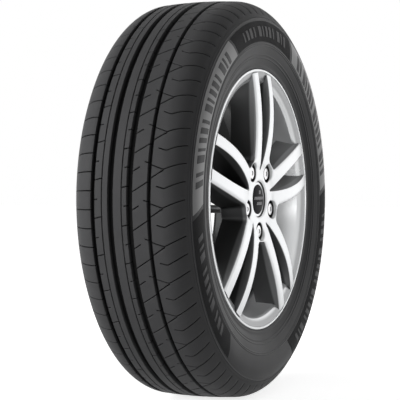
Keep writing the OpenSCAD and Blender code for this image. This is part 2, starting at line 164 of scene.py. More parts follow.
def slab_shell(top, bottom):
    """Closed plate between two like grids: both faces, and a strip round their borders."""
    rows, cols = top.shape[:2]
    count = rows * cols
    number = np.arange(count).reshape(rows, cols)
    edge = np.concatenate([number[0, :-1], number[:-1, -1], number[-1, :0:-1], number[:0:-1, 0]])
    after = np.roll(edge, -1)
    side = np.stack([edge, edge + count, after + count, after], -1)
    face = grid_quads(rows, cols)
    points = np.concatenate([top.reshape(-1, 3), bottom.reshape(-1, 3)])
    return outward(points, [np.concatenate([face, face[:, ::-1] + count, side])])


def revolved(profile, steps):
    """Surface of revolution about Y: (radius, height) becomes (radius cos t, -height, radius sin t)."""
    t = np.linspace(0, 2 * np.pi, steps, endpoint=False)[None, :]
    radius, height = profile[:, 0, None], profile[:, 1, None]
    return np.stack([radius * np.cos(t), -height + 0 * t, radius * np.sin(t)], -1)


def add_piece(name, shells, material, body="wheel", replaces=(), sharp=32, weld=False):
    """One object at the origin from closed shells, smooth but for edges sharper than the given angle.
    With weld, shells that share border points are joined first and their faces turned outwards together."""
    points, faces, start = [], [], 0
    for shell_points, face_sets in shells:
        points.append(shell_points)
        faces += [part + start for part in face_sets]
        start += len(shell_points)
    mesh = bpy.data.meshes.new(name)
    rows = [row for part in faces for row in part.tolist()]
    mesh.from_pydata(np.concatenate(points).tolist(), [], rows)
    if weld:
        joined = bmesh.new()
        joined.from_mesh(mesh)
        bmesh.ops.remove_doubles(joined, verts=joined.verts, dist=0.002 * MM)
        bmesh.ops.recalc_face_normals(joined, faces=joined.faces)
        joined.to_mesh(mesh)
        print(name, "open edges:", sum(1 for edge in joined.edges if len(edge.link_faces) != 2))
        joined.free()
    mesh.polygons.foreach_set("use_smooth", np.ones(len(mesh.polygons), bool))
    mesh.set_sharp_from_angle(angle=math.radians(sharp))
    mesh.materials.append(material)
    piece = bpy.data.objects.new(name, mesh)
    bpy.context.scene.collection.objects.link(piece)
    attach(piece, body)
    if replaces:
        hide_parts(*replaces)
    print(name, "faces:", len(mesh.polygons))
    return piece


def mark_sunk(piece, depth_of):
    """Writes the attribute "sunk" at each point of a piece: a share from 0 to 1 that depends on its place, by which a
    finish paints shade into its colour.
    """
    mesh = piece.data
    points = np.empty(len(mesh.vertices) * 3)
    mesh.vertices.foreach_get("co", points)
    depth = np.clip(depth_of(*points.reshape(-1, 3).T), 0, 1)
    mesh.attributes.new("sunk", "FLOAT", "POINT").data.foreach_set("value", depth.astype(np.float32))


def groove_depth(x, y, z):
    """Depth below the tread's surface, which sets the shade painted in the grooves: 0 at the surface, 1 from 3 mm down.
    """
    radius = np.hypot(x, z)
    return (tread_radius(y) - radius) / (3 * MM) * (radius > 307 * MM)


def pocket_depth(x, y, z):
    """Depth in the pocket of a wheel bolt, which sets the shade painted there: 0 at the hub's front, 1 from 1.5 mm
    down.
    """
    near = np.min([np.hypot(x - place[0], z - place[1]) for place in bolt_places], 0)
    return (HUB_FRONT + y - 0.2 * MM) / (1.5 * MM) * (near < POCKET_R + 1.6 * MM)


def ease(x):
    """A share from 0 to 1 that starts and ends level."""
    x = np.clip(x, 0, 1)
    return x * x * (3 - 2 * x)


def arc(centre, radius, start, end, count):
    """Points on a circle between two angles in degrees."""
    a = np.radians(np.linspace(start, end, count))
    return np.stack([centre[0] + radius * np.cos(a), centre[1] + radius * np.sin(a)], -1)


def rounded(corners, radii, steps=5):
    """Closed outline whose corners are replaced by arcs that touch both sides."""
    corners = np.asarray(corners, float)
    outline = []
    for corner, before, after, radius in zip(corners, np.roll(corners, 1, 0), np.roll(corners, -1, 0), radii):
        if radius <= 0:
            outline.append(corner[None])
            continue
        a = (before - corner) / np.linalg.norm(before - corner)
        b = (after - corner) / np.linalg.norm(after - corner)
        half = math.acos(np.clip(a @ b, -1, 1)) / 2
        reach = min(radius / math.tan(half), 0.45 * min(np.linalg.norm(before - corner), np.linalg.norm(after - corner)))
        middle = (a + b) / np.linalg.norm(a + b)
        centre = corner + middle * reach / math.cos(half)
        first, last = corner + a * reach - centre, corner + b * reach - centre
        sweep = math.pi - 2 * half
        turn = np.linspace(0, 1, steps)[:, None]
        arc_points = (first * np.sin((1 - turn) * sweep) + last * np.sin(turn * sweep)) / math.sin(sweep)
        outline.append(centre + arc_points)
    return np.concatenate(outline)


# %% [markdown]
# ## Finishes
# Every finish is made from nodes that read Object coordinates, so that a pattern stays on the piece when
# it moves. Rubber is black with a faint bloom, and rough in patches. The wheel is cast, and sprayed with
# silver lacquer: metal flakes under a thin clear coat. One function lays out the nodes that all share.

# %% Material helper
def finish(name, colour, roughness, metallic=0.0, spread=0.15, grain=60.0, bump=0.0, bump_grain=400.0,
           coat=0.0, specular=0.5, anisotropy=0.0):
    """Principled shader whose colour and roughness drift with noise, and whose bump is a finer noise."""
    material = bpy.data.materials.new(name)
    material.use_nodes = True
    nodes, links = material.node_tree.nodes, material.node_tree.links
    shader = nodes["Principled BSDF"]
    shader.inputs["Metallic"].default_value = metallic
    shader.inputs["Coat Weight"].default_value = coat
    shader.inputs["Coat Roughness"].default_value = 0.08
    shader.inputs["Specular IOR Level"].default_value = specular
    shader.inputs["Anisotropic"].default_value = anisotropy
    place = nodes.new("ShaderNodeTexCoord")
    noise = nodes.new("ShaderNodeTexNoise")
    noise.inputs["Scale"].default_value = grain
    noise.inputs["Detail"].default_value = 4.0
    links.new(place.outputs["Object"], noise.inputs["Vector"])
    tint = nodes.new("ShaderNodeMix")
    tint.data_type = "RGBA"
    tint.inputs["A"].default_value = (*[c * (1 - spread) for c in colour], 1)
    tint.inputs["B"].default_value = (*[min(c * (1 + spread), 1.0) for c in colour], 1)
    links.new(noise.outputs["Fac"], tint.inputs["Factor"])
    links.new(tint.outputs["Result"], shader.inputs["Base Color"])
    rough = nodes.new("ShaderNodeMapRange")
    rough.inputs["To Min"].default_value = roughness * 0.85
    rough.inputs["To Max"].default_value = min(roughness * 1.15, 1.0)
    links.new(noise.outputs["Fac"], rough.inputs["Value"])
    links.new(rough.outputs["Result"], shader.inputs["Roughness"])
    if bump:
        fine = nodes.new("ShaderNodeTexNoise")
        fine.inputs["Scale"].default_value = bump_grain
        fine.inputs["Detail"].default_value = 3.0
        links.new(place.outputs["Object"], fine.inputs["Vector"])
        relief = nodes.new("ShaderNodeBump")
        relief.inputs["Strength"].default_value = bump
        relief.inputs["Distance"].default_value = 0.2 * MM
        links.new(fine.outputs["Fac"], relief.inputs["Height"])
        links.new(relief.outputs["Normal"], shader.inputs["Normal"])
    return material


def tinted(material, make_value, start, end, share):
    """Multiplies a finish's colour by a factor that goes from 1 at the start value to the share at the end. Here it
    paints shade into a colour by where a point lies or which way it faces.
    """
    nodes, links = material.node_tree.nodes, material.node_tree.links
    shader = nodes["Principled BSDF"]
    tint = shader.inputs["Base Color"].links[0].from_socket
    ramp = nodes.new("ShaderNodeMapRange")
    ramp.interpolation_type = "SMOOTHSTEP"
    ramp.inputs["From Min"].default_value = start
    ramp.inputs["From Max"].default_value = end
    ramp.inputs["To Min"].default_value = 1.0
    ramp.inputs["To Max"].default_value = share
    links.new(make_value(nodes, links), ramp.inputs["Value"])
    shade = nodes.new("ShaderNodeMix")
    shade.data_type = "RGBA"
    shade.blend_type = "MULTIPLY"
    shade.inputs["Factor"].default_value = 1.0
    links.new(tint, shade.inputs["A"])
    links.new(ramp.outputs["Result"], shade.inputs["B"])
    links.new(shade.outputs["Result"], shader.inputs["Base Color"])
    return material


def along_axle(output):
    """Reads Y of a texture coordinate: of Object, how deep a point lies; of Normal, how much it faces back."""
    def make_value(nodes, links):
        place = nodes.new("ShaderNodeTexCoord")
        axes = nodes.new("ShaderNodeSeparateXYZ")
        links.new(place.outputs[output], axes.inputs["Vector"])
        return axes.outputs["Y"]
    return make_value


def from_axle(nodes, links):
    """Reads how far a point lies from the wheel's axle."""
    place = nodes.new("ShaderNodeTexCoord")
    flat = nodes.new("ShaderNodeVectorMath")
    flat.operation = "MULTIPLY"
    flat.inputs[1].default_value = (1, 0, 1)
    links.new(place.outputs["Object"], flat.inputs[0])
    size = nodes.new("ShaderNodeVectorMath")
    size.operation = "LENGTH"
    links.new(flat.outputs["Vector"], size.inputs[0])
    return size.outputs["Value"]


def sunk_painted_shade(nodes, links):
    """Reads the attribute that says how deep a point lies in a groove or a pocket, which sets the shade painted there.
    """
    mark = nodes.new("ShaderNodeAttribute")
    mark.attribute_name = "sunk"
    return mark.outputs["Fac"]


# %% Finishes of the wheel
tread_rubber = finish("tread_rubber", (0.072, 0.072, 0.074), 0.58, grain=35, bump=0.35, bump_grain=900, specular=0.08)
wall_rubber = finish("wall_rubber", (0.036, 0.036, 0.038), 0.48, grain=25, bump=0.25, bump_grain=700, specular=0.14)
# Painted shade: the rubber's colour falls to about an eighth of itself down in the grooves and cuts.
for rubber in (tread_rubber, wall_rubber):
    tinted(rubber, sunk_painted_shade, 0.1, 0.9, 0.12)
# Painted shade and painted sheen: the ribbed panels' rubber is darker than the wall's for the shade in fine ribs, which
# are only a bump here, and the smooth panels' rubber is lighter for their sheen.
dark_rubber = finish("ribbed_rubber", (0.022, 0.022, 0.023), 0.75, grain=40, bump=0.8, bump_grain=1400, specular=0.1)
light_rubber = finish("smooth_rubber", (0.15, 0.15, 0.152), 0.42, grain=25, bump=0.2, bump_grain=700, specular=0.5)
silver = finish("silver_lacquer", (0.80, 0.81, 0.82), 0.36, 0.65, 0.04, 8, 0.10, 2500)
# Painted shade, three factors that multiply: a fifth on faces that turn away from the front, such as the spokes' side
# walls and the pocket walls; a quarter on all that lies less than 82 mm in front of the middle plane; a tenth down in
# the bolt pockets.
tinted(silver, along_axle("Normal"), -0.80, -0.30, 0.20)
tinted(silver, along_axle("Object"), -0.0862, -0.0820, 0.25)
tinted(silver, sunk_painted_shade, 0.1, 0.9, 0.10)
barrel_silver = finish("barrel_lacquer", (0.86, 0.87, 0.88), 0.26, 0.60, 0.04, 8, 0.08, 2500, specular=0.0)
# Painted shade: all of the barrel that lies less than 36 mm in front of the middle plane, its deep inside and its inner
# half, falls to a fiftieth of its colour.
tinted(barrel_silver, along_axle("Object"), -0.044, -0.036, 0.02)
# Painted shade: the barrel falls to 0.4 of its colour from 208 to 215.5 mm from the axle, fading back towards 200 mm;
# the factor of 2.4 inside 200 mm only brings that part back near its own colour.
tinted(barrel_silver, from_axle, 0.2162, 0.2155, 0.40)
tinted(barrel_silver, from_axle, 0.2080, 0.2000, 2.4)
bolt_metal = finish("zinc_plate", (0.72, 0.72, 0.73), 0.32, 0.9, 0.12, 120, 0.15, 1500)
# Painted shade: faces of the bolt that turn away from the front, its flanks and chamfer, fall to a tenth of the colour,
# so that only faces looking straight to the front, such as the flat top, stay bright.
tinted(bolt_metal, along_axle("Normal"), -0.97, -0.80, 0.10)
disc_black = finish("satin_black", (0.010, 0.010, 0.012), 0.5, 0.0, 0.1, 90, 0.05, 900, specular=0.05)
cap_silver = finish("bright_silver", (0.66, 0.67, 0.68), 0.30, 0.90, 0.03, 60, 0.05, 1500)
mark_grey = finish("mark_grey", (0.30, 0.30, 0.31), 0.45, 0.3, 0.05, 90, 0.05, 900)
spring_steel = finish("spring_steel", (0.5, 0.5, 0.5), 0.3, 1.0, 0.1, 300, 0.1, 2000)
brass = finish("turned_brass", (0.62, 0.46, 0.22), 0.3, 1.0, 0.1, 300, 0.1, 2500)
valve_rubber = finish("valve_rubber", (0.02, 0.02, 0.021), 0.65, grain=150, bump=0.3)
cap_plastic = finish("cap_plastic", (0.012, 0.012, 0.013), 0.5, grain=200, bump=0.3, bump_grain=1800)
seal_rubber = finish("seal_rubber", (0.09, 0.09, 0.09), 0.7, grain=300, bump=0.2)

# %% [markdown]
# ## The tyre's section
# A radial tyre's outside is a few circles that meet smoothly: a nearly flat crown, a round shoulder, the
# upper sidewall, the long lower sidewall and the heel over the rim's flange. Everything on the tyre,
# from groove floors to raised bars, is placed by two functions of that section: the tread's radius at a
# distance from the middle plane, and the sidewall's height at a radius.

# %% Section of the tyre
CROWN_R = 750 * MM
HALF_CROWN = 59 * MM
SHOULDER_R = 42 * MM
UPPER_R = 54 * MM
LOWER_R = 130 * MM
WIDEST_SHARE = 0.592
SEAT_R = FLANGE_R - 17.5 * MM
SHOULDER_END = 57
LOWER_END = 116.67
HALF_PATTERN = 94 * MM
SKIN = 0.15 * MM
RELIEF = 0.9 * MM
outer_r = TYRE_R - SKIN
widest_h = HALF_W - RELIEF
crown_end = math.degrees(math.asin(HALF_CROWN / CROWN_R))
crown_centre = np.array([outer_r - CROWN_R, 0.0])
crown_edge = np.array([math.cos(math.radians(crown_end)), math.sin(math.radians(crown_end))])
shoulder_centre = crown_centre + (CROWN_R - SHOULDER_R) * crown_edge
widest_r = SEAT_R + WIDEST_SHARE * (TYRE_R - SEAT_R)
upper_centre = np.array([widest_r, widest_h - UPPER_R])
lower_centre = np.array([widest_r, widest_h - LOWER_R])
growing = np.concatenate([
    arc(crown_centre, CROWN_R, 0, crown_end, 40),
    arc(shoulder_centre, SHOULDER_R, crown_end + 1, SHOULDER_END, 50),
    arc(upper_centre, UPPER_R, SHOULDER_END + 2, 90, 40),
])
outside = np.concatenate([growing, arc(lower_centre, LOWER_R, 91, LOWER_END, 40)])


def tread_radius(h):
    """Radius of the tyre's outside at distance h from the middle plane, read off the section's circles."""
    return np.interp(np.abs(h), growing[:, 1], growing[:, 0])


def wall_height(r):
    """Distance of the sidewall from the middle plane at radius r, read off the same circles."""
    return np.interp(r, outside[::-1, 0], outside[::-1, 1])


print("widest at radius %.1f mm" % (widest_r / MM))

# %% [markdown]
# ## Casing: groove floors, sidewalls and liner
# The casing is one closed ring. Its outline goes from the floor of the grooves down the sidewall, round
# the bead and back inside. It is a surface of revolution, so the outline is all there is to work out.
# Fine ribs that the mould leaves on the sidewall are small bells added to the wall's height.

# %% Casing
GROOVE_DEPTH = 8 * MM
CASING_T = 15 * MM
SIDE_T = 8 * MM
BEAD_W = 19 * MM
FLANGE_T = 8.2 * MM
SEAT_SLOPE = math.tan(math.radians(5))
HALF_RIM = FLANGE_OUT - FLANGE_T
RIPPLES = np.array([311.0, 304.2, 262.0, 259.0, 243.5, 238.5]) * MM
RIPPLE_OUT = 0.7 * MM
RIPPLE_W = 0.9 * MM
RIM_RIB_OUT = 2.4 * MM
RIM_RIB_W = 3.5 * MM


def casing_half():
    """Half of the casing's outline, from the middle plane outside to the middle plane inside."""
    h = np.linspace(0, 88, 50) * MM
    floor = np.stack([tread_radius(h) - GROOVE_DEPTH, h], -1)
    r = np.linspace(tread_radius(94.5 * MM), outside[-1, 0], 110)
    bells = RIPPLE_OUT * np.exp(-((r[:, None] - RIPPLES) / RIPPLE_W) ** 2).sum(1)
    rim_rib = RIM_RIB_OUT * np.exp(-((r - outside[-1, 0]) / RIM_RIB_W) ** 2)
    wall = np.stack([r, wall_height(r) + bells + rim_rib], -1)
    heel = np.array([[FLANGE_R + 1.5 * MM, wall[-1, 1] - 0.1 * MM], [FLANGE_R + 0.7 * MM, wall[-1, 1] - 0.9 * MM],
                     [FLANGE_R + 0.5 * MM, HALF_RIM + 1 * MM]])
    toe_r = SEAT_R - BEAD_W * SEAT_SLOPE
    bead = np.array([
        [FLANGE_R - 1 * MM, HALF_RIM], [SEAT_R + 3 * MM, HALF_RIM],
        [SEAT_R - 3 * MM * SEAT_SLOPE, HALF_RIM - 3 * MM], [toe_r, HALF_RIM - BEAD_W],
        [toe_r + 3 * MM, HALF_RIM - BEAD_W - 1.5 * MM],
    ])
    inside = np.concatenate([
        arc(lower_centre, LOWER_R - SIDE_T, LOWER_END, 94, 8),
        arc(upper_centre, UPPER_R - SIDE_T, 90, SHOULDER_END, 6),
        arc(crown_centre, CROWN_R - CASING_T, crown_end, 0, 5),
    ])
    return np.concatenate([floor, wall, heel, bead, inside])


half = casing_half()
mirrored = half[::-1] * [1, -1]
casing_outline = np.concatenate([half, mirrored[1:-1]])
mark_sunk(add_piece("tyre_casing", [torus_shell(revolved(casing_outline, 360))], wall_rubber, replaces=["tyre"]),
          groove_depth)

# %% [markdown]
# ## Tread: ribs with cross cuts
# The tread is seven ribs between four wide grooves and two fine ones. A mould presses cross cuts into
# them, and the same cuts come back 36 times round the tyre. Each rib is one grid of points: across the
# rib it follows the section, and round the tyre its rows bend with the cuts, so that six rows lie along
# every cut: floor, wall and bevel on both sides. One field then says how deep the rubber lies at a point,
# from its distance to the nearest cut.

# %% Depth of the cross cuts
PITCHES = 36
CUT_DEPTH = 5.5 * MM
CUT_EDGES = np.array([0, 0.60, 0.78, 1.35]) * MM
CUT_FALL = np.array([1, 1, 0.12, 0])
CUT_ROWS = np.array([-1.35, -0.78, -0.60, 0.60, 0.78, 1.35]) * MM
END_SHARE = 0.009
EDGE_DROP = 0.5 * MM
pitch_length = 2 * math.pi * outer_r / PITCHES


def cut_turn(line, u):
    """Turn of a cut's centre line in pitches at the share u across the tread, its corners made soft."""
    places, turns = line
    soft = 0.018
    return sum(w * np.interp(u + d, places, turns) for d, w in ((-soft, 0.25), (0.0, 0.5), (soft, 0.25)))


def cut_stretch(line, u):
    """How much wider a slanting cut is along the turning direction than square to its own line."""
    step = 0.002
    slope = (cut_turn(line, u + step) - cut_turn(line, u - step)) / (2 * step)
    return np.sqrt(1 + (slope * pitch_length / HALF_PATTERN) ** 2)


def rubber_depth(turns, u, cuts):
    """Depth below the tread: full within a cut's floor, falling off over its wall, and zero past its ends."""
    depth = np.zeros_like(turns)
    for line, share in cuts:
        away = turns - cut_turn(line, u)
        away = np.abs(away - np.round(away)) * pitch_length / cut_stretch(line, u)
        ends = np.clip((u - line[0][0] + END_SHARE) / END_SHARE, 0, 1)
        ends = ends * np.clip((line[0][-1] + END_SHARE - u) / END_SHARE, 0, 1)
        depth = np.maximum(depth, share * CUT_DEPTH * np.interp(away, CUT_EDGES, CUT_FALL) * ends)
    return depth


def row_turns(u, lines):
    """Turns of all rows of one pitch: six rows along each line, and three spread between lines."""
    rows = []
    if not lines:
        return np.linspace(0, 1, 10, endpoint=False)[:, None] + 0 * u[None, :]
    along = [cut_turn(line, u) + CUT_ROWS[:, None] / pitch_length * cut_stretch(line, u) for line in lines]
    for this, after in zip(along, along[1:] + [along[0] + 1]):
        share = np.array([0.25, 0.5, 0.75])[:, None]
        rows += [this, this[-1] * (1 - share) + after[0] * share]
    return np.concatenate(rows)


print("cut depth %.1f mm, one pitch %.1f mm" % (CUT_DEPTH / MM, pitch_length / MM))


# %% Rib shell
def tread_rib(low, high, cuts, lines, side=1, wall_r=None):
    """Closed ring: top columns across the rib at the tread's radius less the depth, and a sunk underside.
    With wall_r the rib goes on over the shoulder and down the sidewall to that radius."""
    ends = [e + d for line, _ in cuts for e in (line[0][0], line[0][-1]) for d in (-END_SHARE, 0, END_SHARE)]
    bends = [b for line, _ in cuts for b in line[0]]
    even = np.linspace(low, high, max(4, int((high - low) * 94 / 2.6)))
    edge = EDGE_DROP / HALF_PATTERN
    u = np.concatenate([even, ends, bends, [low + edge, high - edge]])
    u = np.unique(np.round(u[(u >= low) & (u <= high)], 4))
    u = u[np.concatenate([[True], np.diff(u) > 0.0035])]
    h = u * HALF_PATTERN
    turns = row_turns(u, lines)
    turns = (turns[None] + np.arange(PITCHES)[:, None, None]).reshape(-1, len(u))
    radius = tread_radius(h) - rubber_depth(turns, u[None, :], cuts)
    radius[:, 0] -= EDGE_DROP
    height = np.broadcast_to(h, radius.shape)
    if wall_r is None:
        radius[:, -1] -= EDGE_DROP
        under = np.array([[radius[:, -1].max() - 9.5 * MM, h[-1] + 0.8 * MM],
                          [tread_radius(h[0]) - 9 * MM, h[0] - 0.8 * MM]])
        halves = [1, 1]
    else:
        r = np.linspace(tread_radius(h[-1]) - 1.5 * MM, wall_r, 9)
        lift = 0.6 * MM
        down = np.stack([r, wall_height(r) + lift], -1)
        under = np.array([
            [wall_r - 0.4 * MM, wall_height(wall_r) - 1 * MM], [wall_r, wall_height(wall_r) - 4 * MM],
            [tread_radius(84 * MM) - 10 * MM, 84 * MM], [tread_radius(72 * MM) - 10 * MM, 72 * MM],
            [tread_radius(h[0]) - 9 * MM, h[0] - 0.8 * MM],
        ])
        under = np.concatenate([down, under])
        halves = [len(under) - 1, 1]
    count = len(turns)
    radius = np.concatenate([radius, np.broadcast_to(under[:, 0], (count, len(under)))], 1)
    height = np.concatenate([height, np.broadcast_to(under[:, 1], (count, len(under)))], 1)
    turns = np.concatenate([turns, np.repeat(turns[:, -1:], halves[0], 1), turns[:, :1]], 1)
    angle = turns * 2 * math.pi / PITCHES
    return torus_shell(np.stack([radius * np.cos(angle), -side * height, radius * np.sin(angle)], -1))


def line(*knots):
    """A cut's centre line from pairs of place across the tread and turn round it."""
    return tuple(np.array(knots, float).T)


# %% The seven ribs
WALL_STEP_R = 306 * MM
inner = [line((0.597, 0.17), (1.000, 0.17)), line((0.597, 0.67), (1.000, 0.67))]
second = [line((-0.536, 0.40), (-0.390, 0.34)), line((-0.536, 0.91), (-0.474, 0.89))]
fifth = [line((0.020, 0.07), (0.087, 0.05)), line((-0.029, 0.59), (0.087, 0.55))]
sixth = [line((0.158, 0.18), (0.280, 0.06)), line((0.158, 0.71), (0.444, 0.43)), line((0.372, 0.92), (0.433, 0.95))]
outer_long = line((0.474, 0.00), (0.688, 0.12), (0.974, -0.10))
outer_side = line((0.474, 0.36), (0.688, 0.14))
outer_side_rows = line((0.474, 0.36), (0.667, 0.165), (0.688, 0.176), (0.974, -0.044))
outer_short = line((0.586, 0.56), (0.709, 0.62), (0.974, 0.40))

RIBS = {
    "inner_shoulder": (0.604, 1.000, [(c, 0.9) for c in inner], inner, -1, WALL_STEP_R),
    "second": (-0.524, -0.3975, [(c, 0.9) for c in second], second, 1, None),
    "third": (-0.3825, -0.283, [], [], 1, None),
    "fourth": (-0.183, -0.0365, [], [], 1, None),
    "fifth": (-0.0215, 0.062, [(c, 0.9) for c in fifth], fifth, 1, None),
    "sixth": (0.168, 0.424, [(c, 0.9) for c in sixth], sixth, 1, None),
    "outer_shoulder": (0.488, 1.000, [(outer_long, 0.95), (outer_short, 0.95), (outer_side, 0.6)],
                       [outer_long, outer_side_rows, outer_short], 1, WALL_STEP_R),
}
for name, (low, high, cuts, lines, side, wall_r) in RIBS.items():
    mark_sunk(add_piece("tread_rib_" + name, [tread_rib(low, high, cuts, lines, side, wall_r)],
                        tread_rubber, replaces=["tyre"]), groove_depth)

# %% [markdown]
# ## Floors of the fine grooves, and wear bars
# The two fine grooves are shallower than the wide ones, so a narrow ring fills each to its depth. Across
# the wide middle grooves stand wear bars: low blocks that come level with the tread when it is worn out.

# %% Groove rings and wear bars
FINE_SHARES = (-0.390, -0.029)
WEAR_PLACES = ((-0.233, 0.100), (0.115, 0.106))
WEAR_COUNT = 6
WEAR_HIGH = 1.6 * MM


def fine_floor(share):
    """Ring under a fine groove: a small rectangle turned round the axis."""
    h = share * HALF_PATTERN
    top, bottom, width = tread_radius(h) - CUT_DEPTH, tread_radius(h) - 10 * MM, 1.2 * MM
    return torus_shell(revolved(np.array([[top, h - width], [top, h + width], [bottom, h + width], [bottom, h - width]]), 240))


def wear_bar(share, width, index):
    """Low block across a groove: a plate that follows the tread between two angles."""
    angle = (index + 0.35) * 2 * math.pi / WEAR_COUNT + np.linspace(-0.013, 0.013, 6)[:, None]
    h = (share + np.linspace(-0.55, 0.55, 5)[None, :] * width) * HALF_PATTERN
    top = tread_radius(h) - GROOVE_DEPTH + WEAR_HIGH + 0 * angle
    under = top - WEAR_HIGH - 2 * MM
    plates = [np.stack([r * np.cos(angle), -h + 0 * r, r * np.sin(angle)], -1) for r in (top, under)]
    return slab_shell(*plates)


bars = [wear_bar(share, width, i) for share, width in WEAR_PLACES for i in range(WEAR_COUNT)]
mark_sunk(add_piece("tread_floors", [fine_floor(s) for s in FINE_SHARES] + bars, tread_rubber, replaces=["tyre"]),
          groove_depth)

# %% [markdown]
# ## Sidewall panels
# A sidewall carries raised panels. Some stand for panels filled with fine ribs, which trap light and look darker: here
# that shade is painted into their rubber's colour, and the ribs are only a fine bump. One is smooth, its rubber painted
# lighter for its sheen, and carries a row of raised bars. They are thin plates that follow the wall: each point of a
# plate is moved out of the wall along its normal, and the plate's underside lies in the rubber.

# %% Plates on the sidewalls
def wall_plate(start, end, low, high, lift, slant=0.0, side=1):
    """Plate on the wall between two angles in degrees and two radii in mm. Its ends lean by the slant."""
    rows = max(3, int(abs(end - start) / 1.2))
    r = np.linspace(low, high, 12)[None, :] * MM
    angle = np.radians(np.linspace(start, end, rows))[:, None] + slant * (r - r.mean()) / r.mean()
    step = 0.2 * MM
    slope = (wall_height(r + step) - wall_height(r - step)) / (2 * step)
    size = np.sqrt(1 + slope ** 2)
    faces = []
    for out in (lift * MM, -0.8 * MM):
        radius = r - out * slope / size + 0 * angle
        height = wall_height(r) + out / size + 0 * angle
        faces.append(np.stack([radius * np.cos(angle), -side * height, radius * np.sin(angle)], -1))
    return slab_shell(*faces)


DARK_PANELS = ((67.5, 119.0), (183.6, 234.0), (292.0, 362.0))
LIGHT_PANELS = ((120.5, 182.0), (0.5 + 3.5, 65.5))
BAR_WIDTHS = (1.7, 1.0, 2.5, 1.2, 2.0)
BAR_GAPS = (1.7, 1.2, 2.9, 1.5, 1.3)
SMALL_BARS = ((73.0, 113.5), (190.0, 228.0), (298.0, 355.0))


def bars_between(start, end, low, high, lift, side):
    """Slanted bars of changing width, side by side between two angles."""
    plates, angle, k = [], start, 0
    while angle + BAR_WIDTHS[k % 5] < end:
        plates.append(wall_plate(angle, angle + BAR_WIDTHS[k % 5], low, high, lift, 0.35, side))
        angle += BAR_WIDTHS[k % 5] + BAR_GAPS[k % 5]
        k += 1
    return plates


for side, side_name in ((1, "outer"), (-1, "inner")):
    dark = [wall_plate(a, b, 265.5, 300, 0.35, 0.5, side) for a, b in DARK_PANELS]
    add_piece("wall_panels_dark_" + side_name, dark, dark_rubber, replaces=["tyre"])
    light = [wall_plate(a, b, 265.5, 300, 0.35, 0.5, side) for a, b in LIGHT_PANELS]
    add_piece("wall_panels_light_" + side_name, light, light_rubber, replaces=["tyre"])
    marks = [plate for a, b in LIGHT_PANELS for plate in bars_between(a + 5, b - 4, 269.5, 293, 0.75, side)]
    add_piece("wall_bars_" + side_name, marks, wall_rubber, replaces=["tyre"])
    small = [plate for a, b in SMALL_BARS for plate in bars_between(a, b, 274, 291, 0.75, side)]
    add_piece("wall_small_bars_" + side_name, small, wall_rubber, replaces=["tyre"])

# %% [markdown]
# ## Wheel: the barrel
# The barrel is the ring that carries the tyre: two flanges, two seats, and a narrower well between them
# that lets a tyre be put on. Its outer slope is what one sees through the windows. It is one section,
# its corners rounded, turned round the axis.

# %% Barrel
LIP_R = SEAT_R - 4.5 * MM
SLOPE_TOP = HALF_RIM - 2.6 * MM
SLOPE_END = 42 * MM
SLOPE_END_R = LIP_R - 12.3 * MM
SLOPE = (LIP_R - SLOPE_END_R) / (SLOPE_TOP - SLOPE_END)
WELL_R = SLOPE_END_R - 6 * MM
BARREL_T = 5.5 * MM
WALL_R = BARREL_T * math.sqrt(1 + SLOPE ** 2)


def slope_radius(h):
    """Radius of the barrel's outer slope at height h."""
    return LIP_R - (SLOPE_TOP - h) * SLOPE


def barrel_outline():
    """Closed section: outer flange, tyre side, inner flange, and the side that faces the axis."""
    flange = [
        (SEAT_R - 1.3 * MM, FLANGE_OUT - 6.4 * MM, 6.0), (SEAT_R + 4.2 * MM, FLANGE_OUT - 3.6 * MM, 8.0),
        (FLANGE_R - 5.1 * MM, FLANGE_OUT - 1.5 * MM, 0.4), (FLANGE_R - 4.1 * MM, FLANGE_OUT - 1.8 * MM, 0.2),
        (FLANGE_R - 3.8 * MM, FLANGE_OUT - 0.05 * MM, 0.7),
        (FLANGE_R - 0.1 * MM, FLANGE_OUT - 0.05 * MM, 1.6), (FLANGE_R - 0.1 * MM, FLANGE_OUT - 4 * MM, 3.0),
        (FLANGE_R - 7 * MM, HALF_RIM, 3.0), (SEAT_R, HALF_RIM, 2.5),
        (SEAT_R - BEAD_W * SEAT_SLOPE, HALF_RIM - BEAD_W, 0.5), (SEAT_R - 1 * MM, HALF_RIM - BEAD_W - 1.5 * MM, 1.0),
    ]
    foot_h = HALF_RIM - BEAD_W - 4.5 * MM
    foot_r = slope_radius(foot_h) + WALL_R
    well_out = WELL_R + BARREL_T
    corners = flange + [
        (foot_r, foot_h, 1.5), (well_out, foot_h - (foot_r - well_out) / SLOPE, 12.0),
        (well_out, -6 * MM, 12.0), (WELL_R + 17.5 * MM, -34 * MM, 12.0),
    ] + [(r, -h, rho) for r, h, rho in flange[::-1]] + [
        (LIP_R, -SLOPE_TOP, 4.0), (LIP_R - 2.5 * MM, -foot_h, 4.0), (WELL_R + 12 * MM, -34 * MM, 14.0),
        (WELL_R, -6 * MM, 14.0), (WELL_R, SLOPE_END - WALL_R, 4.0), (SLOPE_END_R, SLOPE_END, 4.0),
        (LIP_R, SLOPE_TOP, 3.0),
    ]
    corners = np.array(corners)
    return rounded(corners[:, :2], corners[:, 2] * MM, 6)


barrel_line = barrel_outline()
add_piece("wheel_barrel", [torus_shell(revolved(barrel_line, 300))], barrel_silver, replaces=["alloy_wheel"])

# %% [markdown]
# ## Wheel: the spokes' outline
# Seen from the front the spokes are one star. Every edge of it is part of a circle: the outer edges of a
# pair are big bows, the slot inside a pair is the leaf between two circles, the hub is a circle, and a
# fillet joins hub and bow. Because a circle moved inwards is a smaller circle, the same outline can be
# worked out again for the rounded front edge and for every depth of the drafted walls.

